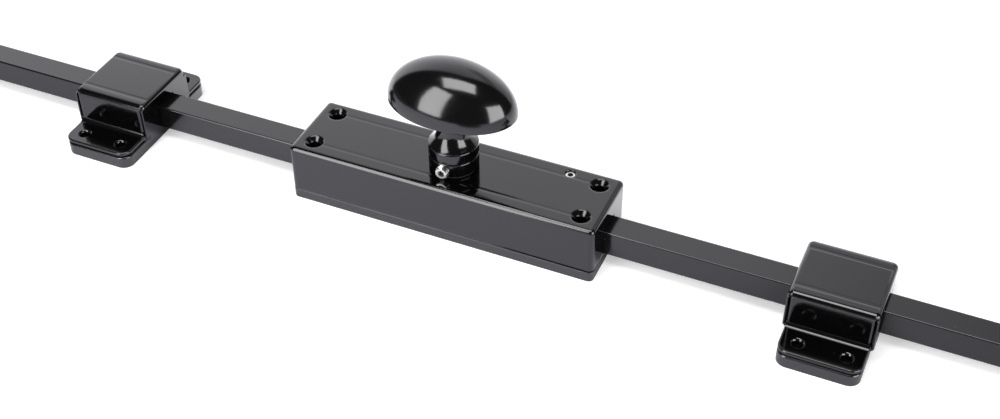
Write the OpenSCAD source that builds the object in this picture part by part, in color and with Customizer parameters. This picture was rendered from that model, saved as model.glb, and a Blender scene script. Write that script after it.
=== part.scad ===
// Cremone bolt: a knob on a gearbox drives two square bars apart or together through a hidden
// rack and pinion. X runs along the bars, Z stands off the door, and the origin is on the mounting
// plane under the knob. The bolt is drawn with both bars thrown out.

/* [Bars] */
// Side of the square bars
bar_w = 12.7; // [10:0.1:14]
// Length of each bar
bar_len = 264; // [220:1:1200]
// From the knob's axis to the inner end of a bar when it is thrown
bar_start = 36; // [34:1:42]
// How far the knob draws each bar in
stroke = 20; // [12:1:21]
// Rounding along the four edges of a bar
bar_edge_r = 0.7; // [0.2:0.1:2]
// Bevel round the outer tip of a bar
bar_tip_bevel = 1.5; // [0.5:0.1:3]

/* [Gearbox] */
// Length of the gearbox
box_len = 151; // [149:1:190]
// Width of the gearbox
box_w = 39.2; // [38.4:0.2:44]
// Thickness of the plate under the gearbox
base_t = 5; // [4:0.5:7]
// Height of the cover above that plate
cover_h = 24.4; // [22.9:0.1:32]
// Thickness of the cover's long walls
wall_t = 2.5; // [2:0.1:3]
// Thickness of the cover's roof
roof_t = 4; // [3:0.5:5]
// Length of the solid block at each end of the cover
end_block = 15.5; // [14.5:0.5:18]
// Radius of the cover's upright corners
box_corner_r = 2.4; // [2.4:0.1:4]
// Radius of the cover's top edges
box_edge_r = 2.2; // [0.5:0.1:2.3]
// Radius of the cover's lower edge and of the plate's upper edge
seam_r = 0.6; // [0.3:0.1:1]
// Wall of the boss round the bush under the roof
boss_wall = 2.5; // [2:0.5:4]

/* [Gearbox fixings] */
// Fixing hole to the end of the gearbox
fix_inset_x = 9.2; // [7.5:0.1:10]
// Fixing hole to the long side of the gearbox
fix_inset_y = 8.2; // [6.5:0.1:8.5]
// Bore of the fixing holes
fix_hole_d = 5.2; // [4:0.1:5.5]
// Mouth of the fixing countersinks
fix_csk_d = 9.3; // [8:0.1:9.8]
// Base plate screw to the end of the gearbox
plate_screw_inset_x = 25.5; // [22:0.5:30]
// Base plate screw to the middle of the gearbox
plate_screw_y = 11.8; // [11.6:0.1:12]
// Diameter of the posts that take the base plate screws
plate_post_d = 8.6; // [8:0.1:9]
// Thread of the base plate screws
plate_screw_d = 4; // [3:0.5:4]
// Length of the base plate screws
plate_screw_len = 14; // [10:1:16]
// Lock screw to the right end of the gearbox
lock_inset_x = 24.2; // [22:0.1:27]
// Lock screw to the long side of the gearbox
lock_inset_y = 5.6; // [5.4:0.1:6]
// How deep the lock screw's face lies under the roof
lock_recess = 0.75; // [0.5:0.05:2]

/* [Guides] */
// Knob's axis to the middle of the left guide
left_guide_x = 176.6; // [130:0.1:240]
// Knob's axis to the middle of the right guide
right_guide_x = 180.5; // [130:0.1:240]
// Thickness of the plate under a guide
guide_base_t = 6; // [5:0.5:8]
// Length of a guide's flanges along the bar
flange_len = 36; // [34:0.2:37]
// Span of a guide across the bar, over both flanges
flange_span = 70.4; // [67:0.2:80]
// Thickness of the flanges
flange_t = 2.9; // [2.7:0.1:4]
// Radius of the flange corners
flange_corner_r = 5.2; // [4:0.1:7]
// Rounding of the flange's upper edge
flange_edge_r = 0.7; // [0.5:0.1:1.2]
// Rounding of the flange's lower edge
flange_foot_r = 0.3; // [0.2:0.1:0.5]
// Height of the gap round a guide's foot, between the flange and the plate
foot_gap_h = 0.5; // [0.3:0.1:0.8]
// Depth of that gap
foot_gap_in = 0.8; // [0.5:0.1:1.5]
// Rounding of the upper edge of the guide's plate
plate_edge_r = 0.4; // [0.3:0.1:1]
// Length of a hood along the bar
hood_len = 39; // [37.2:0.2:44]
// Width of a hood across the bar
hood_w = 36.4; // [32:0.2:38]
// Height of a hood above the guide's plate
hood_h = 20.5; // [18:0.1:24]
// Radius of a hood's upright corners
hood_corner_r = 2.4; // [2.4:0.1:4]
// Radius of a hood's top edges
hood_edge_r = 2.2; // [0.5:0.1:2.3]
// How far the webs stand out of the hood
web_out = 1.1; // [0.5:0.1:2]
// How far under the hood's top the webs begin
web_drop = 2; // [1.5:0.1:4]
// Radius of the webs' upright corners
web_corner_r = 1.1; // [1:0.1:2]
// Radius of the webs' top edges
web_edge_r = 0.9; // [0.4:0.1:0.9]
// Radius of the hollow between a web and its flange
web_fillet_r = 2.4; // [1:0.1:2.5]
// Spacing of the guide's fixing holes along the bar
guide_hole_x = 20.8; // [18:0.1:22]
// Spacing of the guide's fixing holes across the bar
guide_hole_y = 56.6; // [54:0.1:57]
// Bore of the guide's fixing holes
guide_hole_d = 4.4; // [3.5:0.1:4.6]
// Mouth of the guide's countersinks
guide_csk_d = 6; // [5.2:0.1:7]

/* [Grooves] */
// Middle of the gearbox to the shallow grooves along its roof
roof_groove_y = 11.9; // [9:0.1:12.5]
// Bar's axis to the shallow grooves along a hood
hood_groove_y = 12.2; // [10:0.1:13.5]
// Width of the grooves in the roof
roof_groove_w = 2; // [1:0.1:4]
// Width of the grooves in a hood
hood_groove_w = 3; // [1:0.1:4]
// Depth of the grooves in the roof
roof_groove_depth = 0.12; // [0.05:0.01:0.3]
// Depth of the grooves in a hood
hood_groove_depth = 0.2; // [0.05:0.01:0.3]

/* [Rack and pinion] */
// Tooth module
tooth_module = 1.5; // [1.25:0.25:1.75]
// Number of pinion teeth
pinion_teeth = 12; // [11:1:13]
// Pressure angle of the teeth
pressure_angle = 25; // [22:0.5:27]
// Play between the teeth
backlash = 0.2; // [0.1:0.05:0.3]
// Height of the racks
rack_h = 10; // [8:0.5:11]
// Thread of the screws that hold a rack to its bar
rack_screw_d = 4; // [3:0.5:4.5]
// Length of those screws
rack_screw_len = 14; // [12:1:15]
// Rack screw to the end of the rack's foot
rack_screw_inset = 6; // [5:0.5:7]
// Side of the square spindle
spindle_w = 8; // [7:0.5:8.5]
// Wall of the pinion's journals outside the spindle's corners
journal_wall = 1.3; // [1:0.1:1.6]
// Solid floor of the pinion under the spindle
pinion_floor = 3; // [2:0.5:4]
// Wall of the bushes that carry the pinion
bush_wall = 2; // [1.5:0.1:2.5]
// Thickness of the bush flanges
bush_flange_t = 1; // [0.8:0.1:1.2]
// How far a bush flange stands out of its sleeve
bush_lip = 2; // [1:0.1:2.5]

/* [Knob] */
// Length of the oval knob
knob_len = 61.2; // [50:0.1:70]
// Width of the oval knob
knob_w = 38.8; // [34:0.1:44]
// Height of the dome above the knob's widest line
dome_h = 21.8; // [18:0.1:28]
// Depth of the underside below the widest line
under_h = 4.6; // [4:0.1:9]
// Widest line of the knob above the cover
knob_lift = 33.6; // [32:0.1:40]
// Diameter of the collar and of the rim above it
collar_d = 23; // [22.4:0.1:26]
// Top of the collar above the cover
collar_top = 7.7; // [7:0.1:9]
// Top of the rim above the cover
rim_top = 13.4; // [12.5:0.1:14]
// Rounding of the collar and rim edges
collar_edge_r = 0.7; // [0.4:0.1:1]
// Diameter of the waist of the neck
waist_d = 14; // [13:0.1:16]
// Height of the waist above the cover
waist_lift = 22; // [21:0.1:23.5]
// Diameter of the tenon that holds the knob on its shank
tenon_d = 9; // [7:0.5:10]
// Length of the tenon above the shank
tenon_len = 12; // [8:0.5:16]
// Thickness of the washer under the collar
washer_t = 0.5; // [0.4:0.1:1]
// How deep the spindle reaches into the shank
spindle_reach = 12; // [10:0.5:13]

/* [Grub screws] */
// Thread of the lock screw
lock_d = 5; // [4:0.5:5]
// Thread of the knob's grub screw
knob_grub_d = 6; // [5:0.5:6]
// Length of both grub screws
grub_len = 10; // [9.5:0.5:10]
// Depth of their hexagon sockets
grub_hex_depth = 3; // [2:0.5:4]

/* [Fits] */
// Gap round the bars and racks where they slide
slide_gap = 0.35; // [0.3:0.05:0.45]
// Gap round a shaft that turns in a bush
turn_gap = 0.05; // [0.03:0.01:0.1]
// End play of the pinion and of the knob
end_gap = 0.2; // [0.15:0.05:0.3]
// Gap between pieces that are pressed or screwed together
seat_gap = 0.03; // [0.02:0.01:0.08]

/* [Hidden] */
$fn = 96;
// Small overshoot of the cutting shapes
cut = 1;
// Size of a screw's hexagon socket over its corners, for each millimetre of thread
hex_share = 0.72;
// Hexagon socket of a grub screw across its flats, for each millimetre of thread
grub_hex_share = 0.5;
// Bevel at both ends of a grub screw
grub_bevel = 0.5;

box_top = base_t + cover_h;
roof_z = box_top - roof_t;
cavity_x = box_len / 2 - end_block;
cavity_y = box_w / 2 - wall_t;

bar_z = max(base_t, guide_base_t) + slide_gap + bar_w / 2;
passage_w = bar_w + 2 * slide_gap;

fix_x = box_len / 2 - fix_inset_x;
fix_y = box_w / 2 - fix_inset_y;
plate_screw_x = box_len / 2 - plate_screw_inset_x;
lock_x = box_len / 2 - lock_inset_x;
lock_y = box_w / 2 - lock_inset_y;
lock_face_z = box_top - lock_recess;

pitch = PI * tooth_module;
pitch_r = tooth_module * pinion_teeth / 2;
tip_r = pitch_r + tooth_module;
dedendum = 1.25 * tooth_module;
root_r = pitch_r - dedendum;
base_r = pitch_r * cos(pressure_angle);
// Steps along each involute flank
flank_steps = 6;

rack_back_y = cavity_y - slide_gap;
foot_end_x = cavity_x - slide_gap;
first_tooth = -2;
last_tooth = ceil(stroke / pitch);
rack_tail_x = (first_tooth - 0.25) * pitch;

gear_bottom = base_t + bush_flange_t + end_gap;
gear_top = 2 * bar_z - gear_bottom;
spindle_hole_w = spindle_w + 2 * turn_gap;
journal_d = spindle_hole_w * sqrt(2) + 2 * journal_wall;
bush_d = journal_d + 2 * bush_wall;
bush_flange_d = bush_d + 2 * bush_lip;
cover_bush_z = gear_top + end_gap;
journal_recess = 0.6;

shank_z = box_top + washer_t + end_gap;
rim_z = box_top + rim_top;
waist_z = box_top + waist_lift;
knob_mid_z = box_top + knob_lift;
knob_seat_z = knob_mid_z - under_h;
// The neck is an arc that leaves the rim just inside its edge and passes the waist
neck_foot_r = collar_d / 2 - collar_edge_r / 2;
neck_rise = waist_z - rim_z;
neck_step = neck_foot_r - waist_d / 2;
neck_arc_r = (neck_rise * neck_rise + neck_step * neck_step) / (2 * neck_step);
neck_axis_r = waist_d / 2 + neck_arc_r;
neck_top_r = neck_axis_r - sqrt(pow(neck_arc_r, 2) - pow(knob_seat_z - waist_z, 2));
collar_grub_z = (shank_z + box_top + collar_top) / 2;
grub_tip_y = spindle_w / 2 + seat_gap;
// Facets of the oval knob
knob_sides = 72;
under_rings = 12;
dome_rings = 16;
// How tightly the knob's underside turns into its round neck
neck_blend = 4;

paint = "#1a1a1c";
satin_paint = "#2c2c2f";
bright_steel = "#c9cbcd";
plain_steel = "#8d8f92";
polymer = "#e6e2d6";

// Section of a block of the given width and height, with round edges at the top and foot
module block_section(width, height, edge_r, foot_r) {
    translate([-width / 2, foot_r]) square([width, height - edge_r - foot_r]);
    translate([edge_r - width / 2, foot_r]) square([width - 2 * edge_r, height - foot_r]);
    translate([foot_r - width / 2, 0]) square([width - 2 * foot_r, height - edge_r]);
    for (side = [-1, 1]) {
        translate([side * (width / 2 - edge_r), height - edge_r]) circle(edge_r);
        translate([side * (width / 2 - foot_r), foot_r]) circle(foot_r);
    }
}

// Block that stands on z = 0, with round upright corners and round edges
module soft_block(length, width, height, corner_r, edge_r, foot_r = 0) {
    run_x = length - 2 * corner_r;
    run_y = width - 2 * corner_r;
    rotate([90, 0, 90])
        translate([0, 0, -run_x / 2])
            linear_extrude(run_x) block_section(width, height, edge_r, foot_r);
    rotate([90, 0, 0])
        translate([0, 0, -run_y / 2])
            linear_extrude(run_y) block_section(length, height, edge_r, foot_r);
    for (side_x = [-1, 1], side_y = [-1, 1])
        translate([side_x * run_x / 2, side_y * run_y / 2, 0])
            rotate_extrude() intersection() {
                block_section(2 * corner_r, height, edge_r, foot_r);
                square([corner_r, height]);
            }
}

// Through hole with a right-angled countersink whose mouth lies at top_z
module csk_hole(hole_d, mouth_d, bottom_z, top_z) {
    sink = (mouth_d - hole_d) / 2;
    translate([0, 0, bottom_z - cut]) cylinder(d = hole_d, h = top_z - bottom_z + 2 * cut);
    translate([0, 0, top_z - sink]) cylinder(d1 = hole_d, d2 = mouth_d, h = sink);
    translate([0, 0, top_z]) cylinder(d = mouth_d, h = cut);
}

// Countersunk screw, head up at z = 0 and shank down, with a hexagon socket.
// The head is twice as wide as the thread, and half the thread's width deep.
module csk_screw(d, length) {
    head_h = d / 2;
    difference() {
        union() {
            translate([0, 0, -length]) cylinder(d = d, h = length - head_h / 2);
            translate([0, 0, -head_h]) cylinder(d1 = d, d2 = 2 * d, h = head_h);
        }
        translate([0, 0, -head_h]) cylinder(d = hex_share * d, h = head_h + cut, $fn = 6);
    }
}

// Bore and countersink that take the screw above, with a seating gap all round
module csk_screw_seat(d, length) {
    head_h = d / 2;
    lift = seat_gap * sqrt(2);
    translate([0, 0, -length - seat_gap]) cylinder(d = d + 2 * seat_gap, h = length + cut);
    translate([0, 0, -head_h - lift])
        cylinder(d1 = d, d2 = 2 * (d + lift + cut), h = head_h + lift + cut);
}

// Socket grub screw, socket face up at z = 0 and flat point down
module grub_screw(d) {
    end_d = d - 2 * grub_bevel;
    difference() {
        union() {
            translate([0, 0, -grub_bevel]) cylinder(d1 = d, d2 = end_d, h = grub_bevel);
            translate([0, 0, grub_bevel - grub_len]) cylinder(d = d, h = grub_len - 2 * grub_bevel);
            translate([0, 0, -grub_len]) cylinder(d1 = end_d, d2 = d, h = grub_bevel);
        }
        translate([0, 0, -grub_hex_depth])
            cylinder(d = grub_hex_share * d / cos(30), h = grub_hex_depth + cut, $fn = 6);
    }
}

// Two shallow grooves along X in a face at top_z, at the same distance from the X axis
module top_grooves(length, groove_y, top_z, width, depth) {
    hollow_r = width * width / (8 * depth) + depth / 2;
    for (side = [-1, 1])
        translate([-length / 2, side * groove_y, top_z + hollow_r - depth])
            rotate([0, 90, 0]) cylinder(r = hollow_r, h = length);
}

module fixing_places() {
    for (side_x = [-1, 1], side_y = [-1, 1])
        translate([side_x * fix_x, side_y * fix_y, 0]) children();
}

// The two base plate screws stand where neither rack passes
module plate_screw_places() {
    for (turn = [0, 180])
        rotate([0, 0, turn]) translate([plate_screw_x, -plate_screw_y, 0]) children();
}

// Housing of the mechanism, with solid ends that the bars pass through
module gearbox_cover() {
    color(paint) difference() {
        translate([0, 0, base_t])
            soft_block(box_len, box_w, cover_h, box_corner_r, box_edge_r, seam_r);
        difference() {
            translate([-cavity_x, -cavity_y, base_t - cut])
                cube([2 * cavity_x, 2 * cavity_y, roof_z - base_t + cut]);
            translate([0, 0, cover_bush_z + bush_flange_t])
                cylinder(d = bush_d + 2 * boss_wall, h = roof_z);
            plate_screw_places()
                translate([0, 0, base_t]) cylinder(d = plate_post_d, h = roof_z);
        }
        translate([-box_len, -passage_w / 2, bar_z - passage_w / 2])
            cube([2 * box_len, passage_w, passage_w]);
        cylinder(d = bush_d + 2 * seat_gap, h = box_top + cut);
        fixing_places() csk_hole(fix_hole_d, fix_csk_d, base_t, box_top);
        plate_screw_places() mirror([0, 0, 1]) csk_screw_seat(plate_screw_d, plate_screw_len);
        translate([lock_x, lock_y, lock_face_z - grub_len - slide_gap])
            cylinder(d = lock_d + 2 * turn_gap, h = grub_len + lock_recess + cut);
        top_grooves(2 * fix_x, roof_groove_y, box_top, roof_groove_w, roof_groove_depth);
    }
}

module gearbox_base_plate() {
    color(satin_paint) difference() {
        soft_block(box_len, box_w, base_t, box_corner_r, seam_r);
        translate([0, 0, -cut]) cylinder(d = bush_d + 2 * seat_gap, h = base_t + 2 * cut);
        fixing_places()
            translate([0, 0, -cut]) cylinder(d = fix_hole_d, h = base_t + 2 * cut);
        plate_screw_places() mirror([0, 0, 1]) csk_screw_seat(plate_screw_d, plate_screw_len);
    }
}

module base_plate_screws() {
    color(plain_steel)
        plate_screw_places() mirror([0, 0, 1]) csk_screw(plate_screw_d, plate_screw_len);
}

// Screwed down, it bears on the right rack and locks both bars
module lock_screw() {
    color(bright_steel) translate([lock_x, lock_y, lock_face_z]) grub_screw(lock_d);
}

// Sleeve that stands on z = 0 with its flange downwards
module flanged_bush(length) {
    difference() {
        union() {
            cylinder(d = bush_flange_d, h = bush_flange_t);
            cylinder(d = bush_d, h = bush_flange_t + length);
        }
        translate([0, 0, -cut])
            cylinder(d = journal_d + 2 * turn_gap, h = length + bush_flange_t + 2 * cut);
    }
}

module cover_bush() {
    sleeve = box_top - cover_bush_z - bush_flange_t;
    color(polymer) translate([0, 0, cover_bush_z]) flanged_bush(sleeve);
}

module base_bush() {
    color(polymer)
        translate([0, 0, base_t + bush_flange_t]) mirror([0, 0, 1]) flanged_bush(base_t);
}

// Polar coordinates to a point
function polar(r, angle) = [r * cos(angle), r * sin(angle)];
// Angle in degrees between the start of an involute and its point at roll angle t, in radians
function involute_turn(t) = (t * 180 / PI) - atan(t);

// Outline of one pinion tooth about the X axis, from root to tip and back
function tooth_outline() =
    let (
        roll_end = sqrt(pow(tip_r / base_r, 2) - 1),
        pitch_turn = tan(pressure_angle) * 180 / PI - pressure_angle,
        half_pitch = 90 / pinion_teeth - backlash / (4 * pitch_r) * 180 / PI,
        half_base = half_pitch + pitch_turn,
        flank = [for (i = [0 : flank_steps])
            let (t = roll_end * i / flank_steps)
            polar(base_r * sqrt(1 + t * t), half_base - involute_turn(t))]
    )
    concat(
        [polar(root_r, -half_base)],
        [for (p = flank) [p.x, -p.y]],
        [for (i = [flank_steps : -1 : 0]) flank[i]],
        [polar(root_r, half_base)]
    );

// Pinion outline with one tooth on the +Y axis, in mesh with a gap of the right rack
module pinion_outline() {
    tooth = tooth_outline();
    polygon([for (k = [0 : pinion_teeth - 1], p = tooth)
        let (a = 90 + 360 * k / pinion_teeth)
        [p.x * cos(a) - p.y * sin(a), p.x * sin(a) + p.y * cos(a)]]);
}

module drive_pinion() {
    color(plain_steel) difference() {
        union() {
            translate([0, 0, journal_recess]) cylinder(d = journal_d, h = box_top - 2 * journal_recess);
            translate([0, 0, gear_bottom])
                linear_extrude(gear_top - gear_bottom) pinion_outline();
        }
        translate([-spindle_hole_w / 2, -spindle_hole_w / 2, journal_recess + pinion_floor])
            cube([spindle_hole_w, spindle_hole_w, box_top]);
    }
}

module drive_spindle() {
    foot = journal_recess + pinion_floor + seat_gap;
    color(plain_steel) translate([-spindle_w / 2, -spindle_w / 2, foot])
        cube([spindle_w, spindle_w, shank_z + spindle_reach - foot]);
}

// Rack of the right bar: teeth face the pinion from +Y, and a foot lies along the bar.
// phase shifts the teeth along X.
module rack(phase) {
    half_pitch = (pitch - backlash) / 4;
    half_root = half_pitch + dedendum * tan(pressure_angle);
    half_tip = half_pitch - tooth_module * tan(pressure_angle);
    root_y = pitch_r + dedendum;
    tip_y = pitch_r - tooth_module;
    difference() {
        translate([0, 0, bar_z - rack_h / 2]) linear_extrude(rack_h) {
            translate([rack_tail_x, root_y])
                square([foot_end_x - rack_tail_x, rack_back_y - root_y]);
            translate([bar_start, bar_w / 2])
                square([foot_end_x - bar_start, rack_back_y - bar_w / 2]);
            for (i = [first_tooth : last_tooth])
                translate([(i + 0.5) * pitch + phase, 0])
                    polygon([
                        [-half_root, root_y], [-half_tip, tip_y],
                        [half_tip, tip_y], [half_root, root_y]
                    ]);
        }
        rack_screw_places() csk_screw_seat(rack_screw_d, rack_screw_len);
    }
}

// Places of the right rack's screws, heads towards +Y
module rack_screw_places() {
    for (x = [bar_start + rack_screw_inset, foot_end_x - rack_screw_inset])
        translate([x, rack_back_y, bar_z]) rotate([-90, 0, 0]) children();
}

module right_rack() {
    color(plain_steel) rack(0);
}

// With an odd number of teeth the pinion shows a gap to this rack
module left_rack() {
    color(plain_steel) rotate([0, 0, 180]) rack(pinion_teeth % 2 * pitch / 2);
}

module right_rack_screws() {
    color(bright_steel) rack_screw_places() csk_screw(rack_screw_d, rack_screw_len);
}

module left_rack_screws() {
    color(bright_steel)
        rotate([0, 0, 180]) rack_screw_places() csk_screw(rack_screw_d, rack_screw_len);
}

// Outline of a bar seen from above or from the side: a strip with a bevelled outer end
module bar_outline() {
    half = bar_w / 2;
    polygon([
        [0, -half], [bar_len - bar_tip_bevel, -half], [bar_len, bar_tip_bevel - half],
        [bar_len, half - bar_tip_bevel], [bar_len - bar_tip_bevel, half], [0, half]
    ]);
}

// Square with round corners, centred
module bar_section() {
    inner = bar_w - 2 * bar_edge_r;
    square([bar_w, inner], center = true);
    square([inner, bar_w], center = true);
    for (side_x = [-1, 1], side_y = [-1, 1])
        translate([side_x * inner / 2, side_y * inner / 2]) circle(bar_edge_r);
}

module bar() {
    difference() {
        translate([bar_start, 0, bar_z]) intersection() {
            rotate([90, 0, 90]) linear_extrude(bar_len) bar_section();
            translate([0, 0, -bar_w]) linear_extrude(2 * bar_w) bar_outline();
            rotate([90, 0, 0]) translate([0, 0, -bar_w]) linear_extrude(2 * bar_w) bar_outline();
        }
        rack_screw_places() csk_screw_seat(rack_screw_d, rack_screw_len);
    }
}

module right_bar() {
    color(satin_paint) bar();
}

module left_bar() {
    color(satin_paint) rotate([0, 0, 180]) bar();
}

module knob_washer() {
    color(paint) translate([0, 0, box_top]) difference() {
        cylinder(d = collar_d - 2 * collar_edge_r, h = washer_t);
        translate([0, 0, -cut])
            cylinder(d = spindle_w * sqrt(2) + 2 * slide_gap, h = washer_t + 2 * cut);
    }
}

// Section of a turned disc from bottom_z to top_z with round outer edges
module disc_section(r, bottom_z, top_z, edge_r) {
    translate([0, bottom_z]) square([r - edge_r, top_z - bottom_z]);
    translate([0, bottom_z + edge_r]) square([r, top_z - bottom_z - 2 * edge_r]);
    for (z = [bottom_z + edge_r, top_z - edge_r])
        translate([r - edge_r, z]) circle(edge_r);
}

// Turned shank: collar, groove, rim, concave neck and the tenon that enters the knob
module knob_shank() {
    collar_r = collar_d / 2;
    color(paint) difference() {
        rotate_extrude() {
            disc_section(collar_r, shank_z, box_top + collar_top, collar_edge_r);
            disc_section(collar_r, box_top + collar_top, rim_z, collar_edge_r);
            difference() {
                translate([0, rim_z - collar_edge_r])
                    square([neck_foot_r, knob_seat_z - rim_z + collar_edge_r]);
                translate([neck_axis_r, waist_z]) circle(neck_arc_r);
            }
            translate([0, knob_seat_z - cut]) square([tenon_d / 2, tenon_len + cut]);
        }
        translate([-spindle_hole_w / 2, -spindle_hole_w / 2, shank_z - cut])
            cube([spindle_hole_w, spindle_hole_w, spindle_reach + cut + end_gap]);
        translate([0, 0, collar_grub_z]) rotate([90, 0, 0])
            cylinder(d = knob_grub_d + 2 * seat_gap, h = collar_d);
    }
}

// Clamps the shank on the spindle, and stands a little out of the collar
module knob_grub_screw() {
    color(bright_steel) translate([0, -grub_tip_y - grub_len, collar_grub_z])
        rotate([90, 0, 0]) grub_screw(knob_grub_d);
}

// Half axis of the underside at share s of its full reach: round at the neck, oval at the rim
function under_reach(s, full) =
    let (n = neck_blend, r = neck_top_r)
    pow(pow(r, n) + pow(s * full, n) * (1 - pow(r / full, n)), 1 / n);

// Each ring is half length, half width and height over the knob's widest line
function knob_rings() =
    let (a = knob_len / 2, b = knob_w / 2)
    concat(
        [for (i = [0 : under_rings])
            let (t = 90 * i / under_rings)
            [under_reach(sin(t), a), under_reach(sin(t), b), -under_h * cos(t)]],
        [for (i = [1 : dome_rings - 1])
            let (t = 90 * i / dome_rings)
            [a * cos(t), b * cos(t), dome_h * sin(t)]]
    );

// Oval knob, lofted from a round neck through an oval rim to a dome
module oval_knob() {
    rings = knob_rings();
    count = len(rings);
    points = concat(
        [for (ring = rings, k = [0 : knob_sides - 1])
            let (a = 360 * k / knob_sides)
            [ring[0] * cos(a), ring[1] * sin(a), ring[2]]],
        [[0, 0, -under_h], [0, 0, dome_h]]
    );
    foot_point = count * knob_sides;
    faces = concat(
        [for (i = [0 : count - 2], k = [0 : knob_sides - 1])
            let (next = (k + 1) % knob_sides)
            [i * knob_sides + k, (i + 1) * knob_sides + k,
             (i + 1) * knob_sides + next, i * knob_sides + next]],
        [for (k = [0 : knob_sides - 1]) [foot_point, k, (k + 1) % knob_sides]],
        [for (k = [0 : knob_sides - 1])
            [foot_point + 1, (count - 1) * knob_sides + (k + 1) % knob_sides,
             (count - 1) * knob_sides + k]]
    );
    color(paint) difference() {
        translate([0, 0, knob_mid_z]) polyhedron(points, faces);
        translate([0, 0, knob_seat_z - cut])
            cylinder(d = tenon_d + 2 * seat_gap, h = tenon_len + seat_gap + cut);
    }
}

module guide_hole_places() {
    for (side_x = [-1, 1], side_y = [-1, 1])
        translate([side_x * guide_hole_x / 2, side_y * guide_hole_y / 2, 0]) children();
}

// Hollow strip along X between each web and its flange
module web_fillets(web_y, flange_z) {
    rotate([90, 0, 90])
        translate([0, 0, web_corner_r - flange_len / 2])
            linear_extrude(flange_len - 2 * web_corner_r)
                for (side = [-1, 1])
                    scale([side, 1]) translate([web_y - cut, flange_z - cut]) difference() {
                        square(web_fillet_r + cut);
                        translate([web_fillet_r + cut, web_fillet_r + cut]) circle(web_fillet_r);
                    }
}

// Hood that holds a bar down, with an upright web at each side and two flanges
module guide_cover() {
    flange_z = guide_base_t + flange_t;
    web_w = hood_w + 2 * web_out;
    color(paint) difference() {
        union() {
            translate([0, 0, guide_base_t]) {
                soft_block(hood_len, hood_w, hood_h, hood_corner_r, hood_edge_r);
                soft_block(flange_len, web_w, hood_h - web_drop, web_corner_r, web_edge_r);
                translate([0, 0, foot_gap_h])
                    soft_block(flange_len, flange_span, flange_t - foot_gap_h,
                        flange_corner_r, flange_edge_r, flange_foot_r);
                soft_block(flange_len - 2 * foot_gap_in, flange_span - 2 * foot_gap_in, flange_t / 2,
                    flange_corner_r - foot_gap_in, flange_edge_r);
            }
            web_fillets(web_w / 2, flange_z);
        }
        top_grooves(2 * hood_len, hood_groove_y, guide_base_t + hood_h,
            hood_groove_w, hood_groove_depth);
        translate([-hood_len, -passage_w / 2, 0])
            cube([2 * hood_len, passage_w, bar_z + passage_w / 2]);
        guide_hole_places() csk_hole(guide_hole_d, guide_csk_d, guide_base_t, flange_z);
    }
}

module guide_base() {
    color(satin_paint) difference() {
        soft_block(flange_len, flange_span, guide_base_t, flange_corner_r, plate_edge_r);
        guide_hole_places()
            translate([0, 0, -cut]) cylinder(d = guide_hole_d, h = guide_base_t + 2 * cut);
    }
}

module left_guide_cover() {
    translate([-left_guide_x, 0, 0]) guide_cover();
}

module left_guide_base() {
    translate([-left_guide_x, 0, 0]) guide_base();
}

module right_guide_cover() {
    translate([right_guide_x, 0, 0]) guide_cover();
}

module right_guide_base() {
    translate([right_guide_x, 0, 0]) guide_base();
}

gearbox_cover();
gearbox_base_plate();
base_plate_screws();
lock_screw();
cover_bush();
base_bush();
drive_pinion();
drive_spindle();
left_rack();
right_rack();
left_rack_screws();
right_rack_screws();
left_bar();
right_bar();
knob_washer();
knob_shank();
knob_grub_screw();
oval_knob();
left_guide_cover();
left_guide_base();
right_guide_cover();
right_guide_base();
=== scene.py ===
import math

import bmesh
import bpy
from mathutils import Matrix, Quaternion, Vector


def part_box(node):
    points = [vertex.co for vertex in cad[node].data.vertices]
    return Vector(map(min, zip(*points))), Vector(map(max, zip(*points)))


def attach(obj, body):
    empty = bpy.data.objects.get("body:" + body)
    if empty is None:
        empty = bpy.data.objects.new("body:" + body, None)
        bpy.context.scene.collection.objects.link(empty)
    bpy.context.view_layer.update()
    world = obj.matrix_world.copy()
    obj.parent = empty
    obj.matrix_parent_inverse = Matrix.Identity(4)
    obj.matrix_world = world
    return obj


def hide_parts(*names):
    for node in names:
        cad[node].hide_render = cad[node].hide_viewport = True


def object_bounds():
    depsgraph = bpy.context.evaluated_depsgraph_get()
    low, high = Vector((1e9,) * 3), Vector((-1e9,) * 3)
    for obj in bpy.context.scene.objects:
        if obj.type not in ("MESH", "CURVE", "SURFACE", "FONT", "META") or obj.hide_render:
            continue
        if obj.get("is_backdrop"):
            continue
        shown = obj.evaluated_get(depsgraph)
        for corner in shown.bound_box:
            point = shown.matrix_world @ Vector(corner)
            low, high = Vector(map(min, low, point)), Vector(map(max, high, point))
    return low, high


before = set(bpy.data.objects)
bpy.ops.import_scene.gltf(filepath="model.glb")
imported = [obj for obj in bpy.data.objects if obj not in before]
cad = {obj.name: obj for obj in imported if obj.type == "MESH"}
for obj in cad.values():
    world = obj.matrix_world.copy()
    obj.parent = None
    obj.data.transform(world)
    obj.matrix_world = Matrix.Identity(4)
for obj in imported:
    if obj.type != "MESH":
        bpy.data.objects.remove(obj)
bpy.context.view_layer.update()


# Gearbox base plate. A steel plate that closes the gearbox from below and lies on the door. It is
# sprayed satin black on all sides, and two countersunk screws from below hold the cover on it.
# Its paint is the plain one of the set: thin, a little grey, with a fine grain.

def wire(tree, kind, inputs=None, **settings):
    """Adds a shader node with its settings, and each input set to a value or linked to a socket."""
    node = tree.nodes.new("ShaderNode" + kind)
    for name, value in settings.items():
        setattr(node, name, value)
    for name, value in (inputs or {}).items():
        if isinstance(value, bpy.types.NodeSocket):
            tree.links.new(value, node.inputs[name])
        else:
            node.inputs[name].default_value = value
    return node


def object_place(tree):
    """The place of a point on its object."""
    return wire(tree, "TexCoord").outputs["Object"]


def noise(tree, place, scale, detail=2.0, roughness=0.5):
    """Noise from 0 to 1 over a place."""
    return wire(tree, "TexNoise", {"Vector": place, "Scale": scale, "Detail": detail,
                                   "Roughness": roughness}).outputs["Fac"]


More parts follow.
